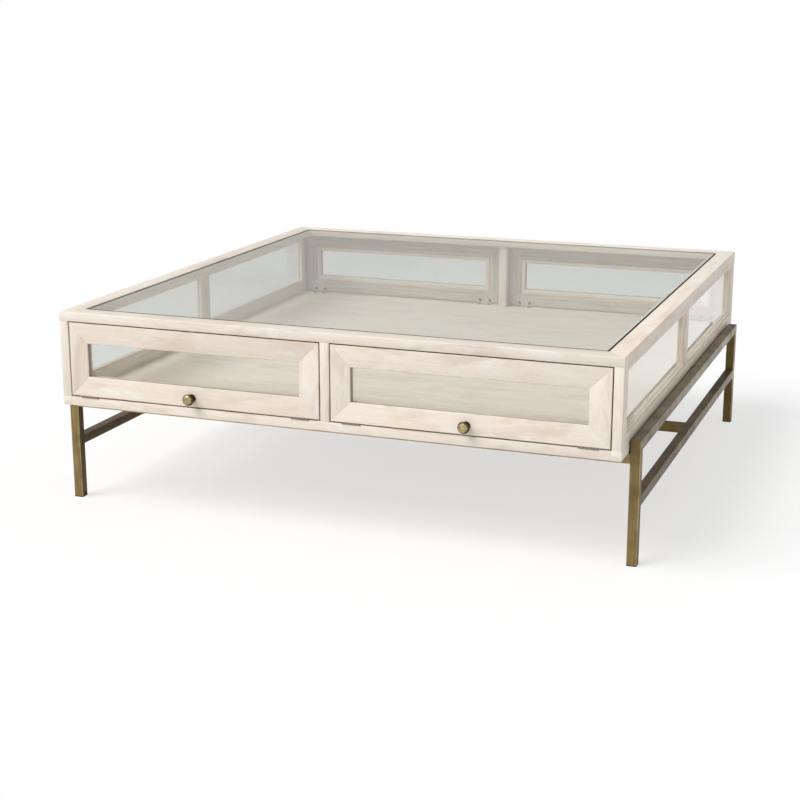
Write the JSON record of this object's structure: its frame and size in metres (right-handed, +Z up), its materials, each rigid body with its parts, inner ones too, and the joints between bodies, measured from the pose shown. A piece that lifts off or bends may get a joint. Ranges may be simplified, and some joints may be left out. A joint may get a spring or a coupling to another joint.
{
  "type": "coffee table",
  "caption": "Square display coffee table with a glass top, glazed side panels and glazed drop-down doors in a whitewashed wooden case on a slim square-tube metal base.",
  "frame": {"origin": "on the floor, under the middle of the table", "axes": "+Z up, +X to the right along the front, the front faces -Y"},
  "size_m": [1.22, 1.266, 0.417],
  "materials": {
    "whitewashed_wood": "whitewashed, matt sealed, faint open grain",
    "antique_brass": "aged, satin, brushed along the tube",
    "glass": "clear float glass with ground edges",
    "hinge_steel": "satin nickel plated",
    "magnet_steel": "nickel plated",
    "screw_steel": "blackened",
    "clear_pad": "clear soft pad",
    "foot_plastic": "moulded, fine texture"
  },
  "bodies": {
    "case": {"base_beam_back": "antique_brass", "base_beam_front": "antique_brass", "base_cross_bar": "antique_brass", "base_rail_left": "antique_brass", "base_rail_right": "antique_brass", "base_screws": "screw_steel", "base_stretcher_left": "antique_brass", "base_stretcher_right": "antique_brass", "bottom_lipping": "whitewashed_wood", "catch_magnets": "magnet_steel", "floor_panel": "whitewashed_wood", "hinge_floor_leaves": "hinge_steel", "hinge_pins": "hinge_steel", "leg_back_left": "antique_brass", "leg_back_right": "antique_brass", "leg_feet": "foot_plastic", "leg_front_left": "antique_brass", "leg_front_right": "antique_brass", "middle_post_back": "whitewashed_wood", "middle_post_front": "whitewashed_wood", "side_left_back_stile": "whitewashed_wood", "side_left_beads": "whitewashed_wood", "side_left_bottom_rail": "whitewashed_wood", "side_left_front_stile": "whitewashed_wood", "side_left_mullion": "whitewashed_wood", "side_left_panes": "glass", "side_left_top_rail": "whitewashed_wood", "side_right_back_stile": "whitewashed_wood", "side_right_beads": "whitewashed_wood", "side_right_bottom_rail": "whitewashed_wood", "side_right_front_stile": "whitewashed_wood", "side_right_mullion": "whitewashed_wood", "side_right_panes": "glass", "side_right_top_rail": "whitewashed_wood", "top_glass": "glass", "top_glass_pads": "clear_pad", "top_rail_back": "whitewashed_wood", "top_rail_front": "whitewashed_wood", "top_rail_left": "whitewashed_wood", "top_rail_right": "whitewashed_wood"},
    "door_front_left": {"door_front_left_beads": "whitewashed_wood", "door_front_left_fittings": "hinge_steel", "door_front_left_frame": "whitewashed_wood", "door_front_left_knob": "antique_brass", "door_front_left_pane": "glass"},
    "door_front_right": {"door_front_right_beads": "whitewashed_wood", "door_front_right_fittings": "hinge_steel", "door_front_right_frame": "whitewashed_wood", "door_front_right_knob": "antique_brass", "door_front_right_pane": "glass"},
    "door_back_left": {"door_back_left_beads": "whitewashed_wood", "door_back_left_fittings": "hinge_steel", "door_back_left_frame": "whitewashed_wood", "door_back_left_knob": "antique_brass", "door_back_left_pane": "glass"},
    "door_back_right": {"door_back_right_beads": "whitewashed_wood", "door_back_right_fittings": "hinge_steel", "door_back_right_frame": "whitewashed_wood", "door_back_right_knob": "antique_brass", "door_back_right_pane": "glass"}
  },
  "joints": [
    {"name": "front_left_door_hinge", "type": "hinge", "parent": "case", "child": "door_front_left", "pos_m": [-0.28875, -0.6106, 0.24125], "axis": [1, 0, 0], "range_deg": [0, 90]},
    {"name": "front_right_door_hinge", "type": "hinge", "parent": "case", "child": "door_front_right", "pos_m": [0.28875, -0.6106, 0.24125], "axis": [1, 0, 0], "range_deg": [0, 90]},
    {"name": "back_left_door_hinge", "type": "hinge", "parent": "case", "child": "door_back_left", "pos_m": [-0.28875, 0.6106, 0.24125], "axis": [-1, 0, 0], "range_deg": [0, 90]},
    {"name": "back_right_door_hinge", "type": "hinge", "parent": "case", "child": "door_back_right", "pos_m": [0.28875, 0.6106, 0.24125], "axis": [-1, 0, 0], "range_deg": [0, 90]}
  ]
}
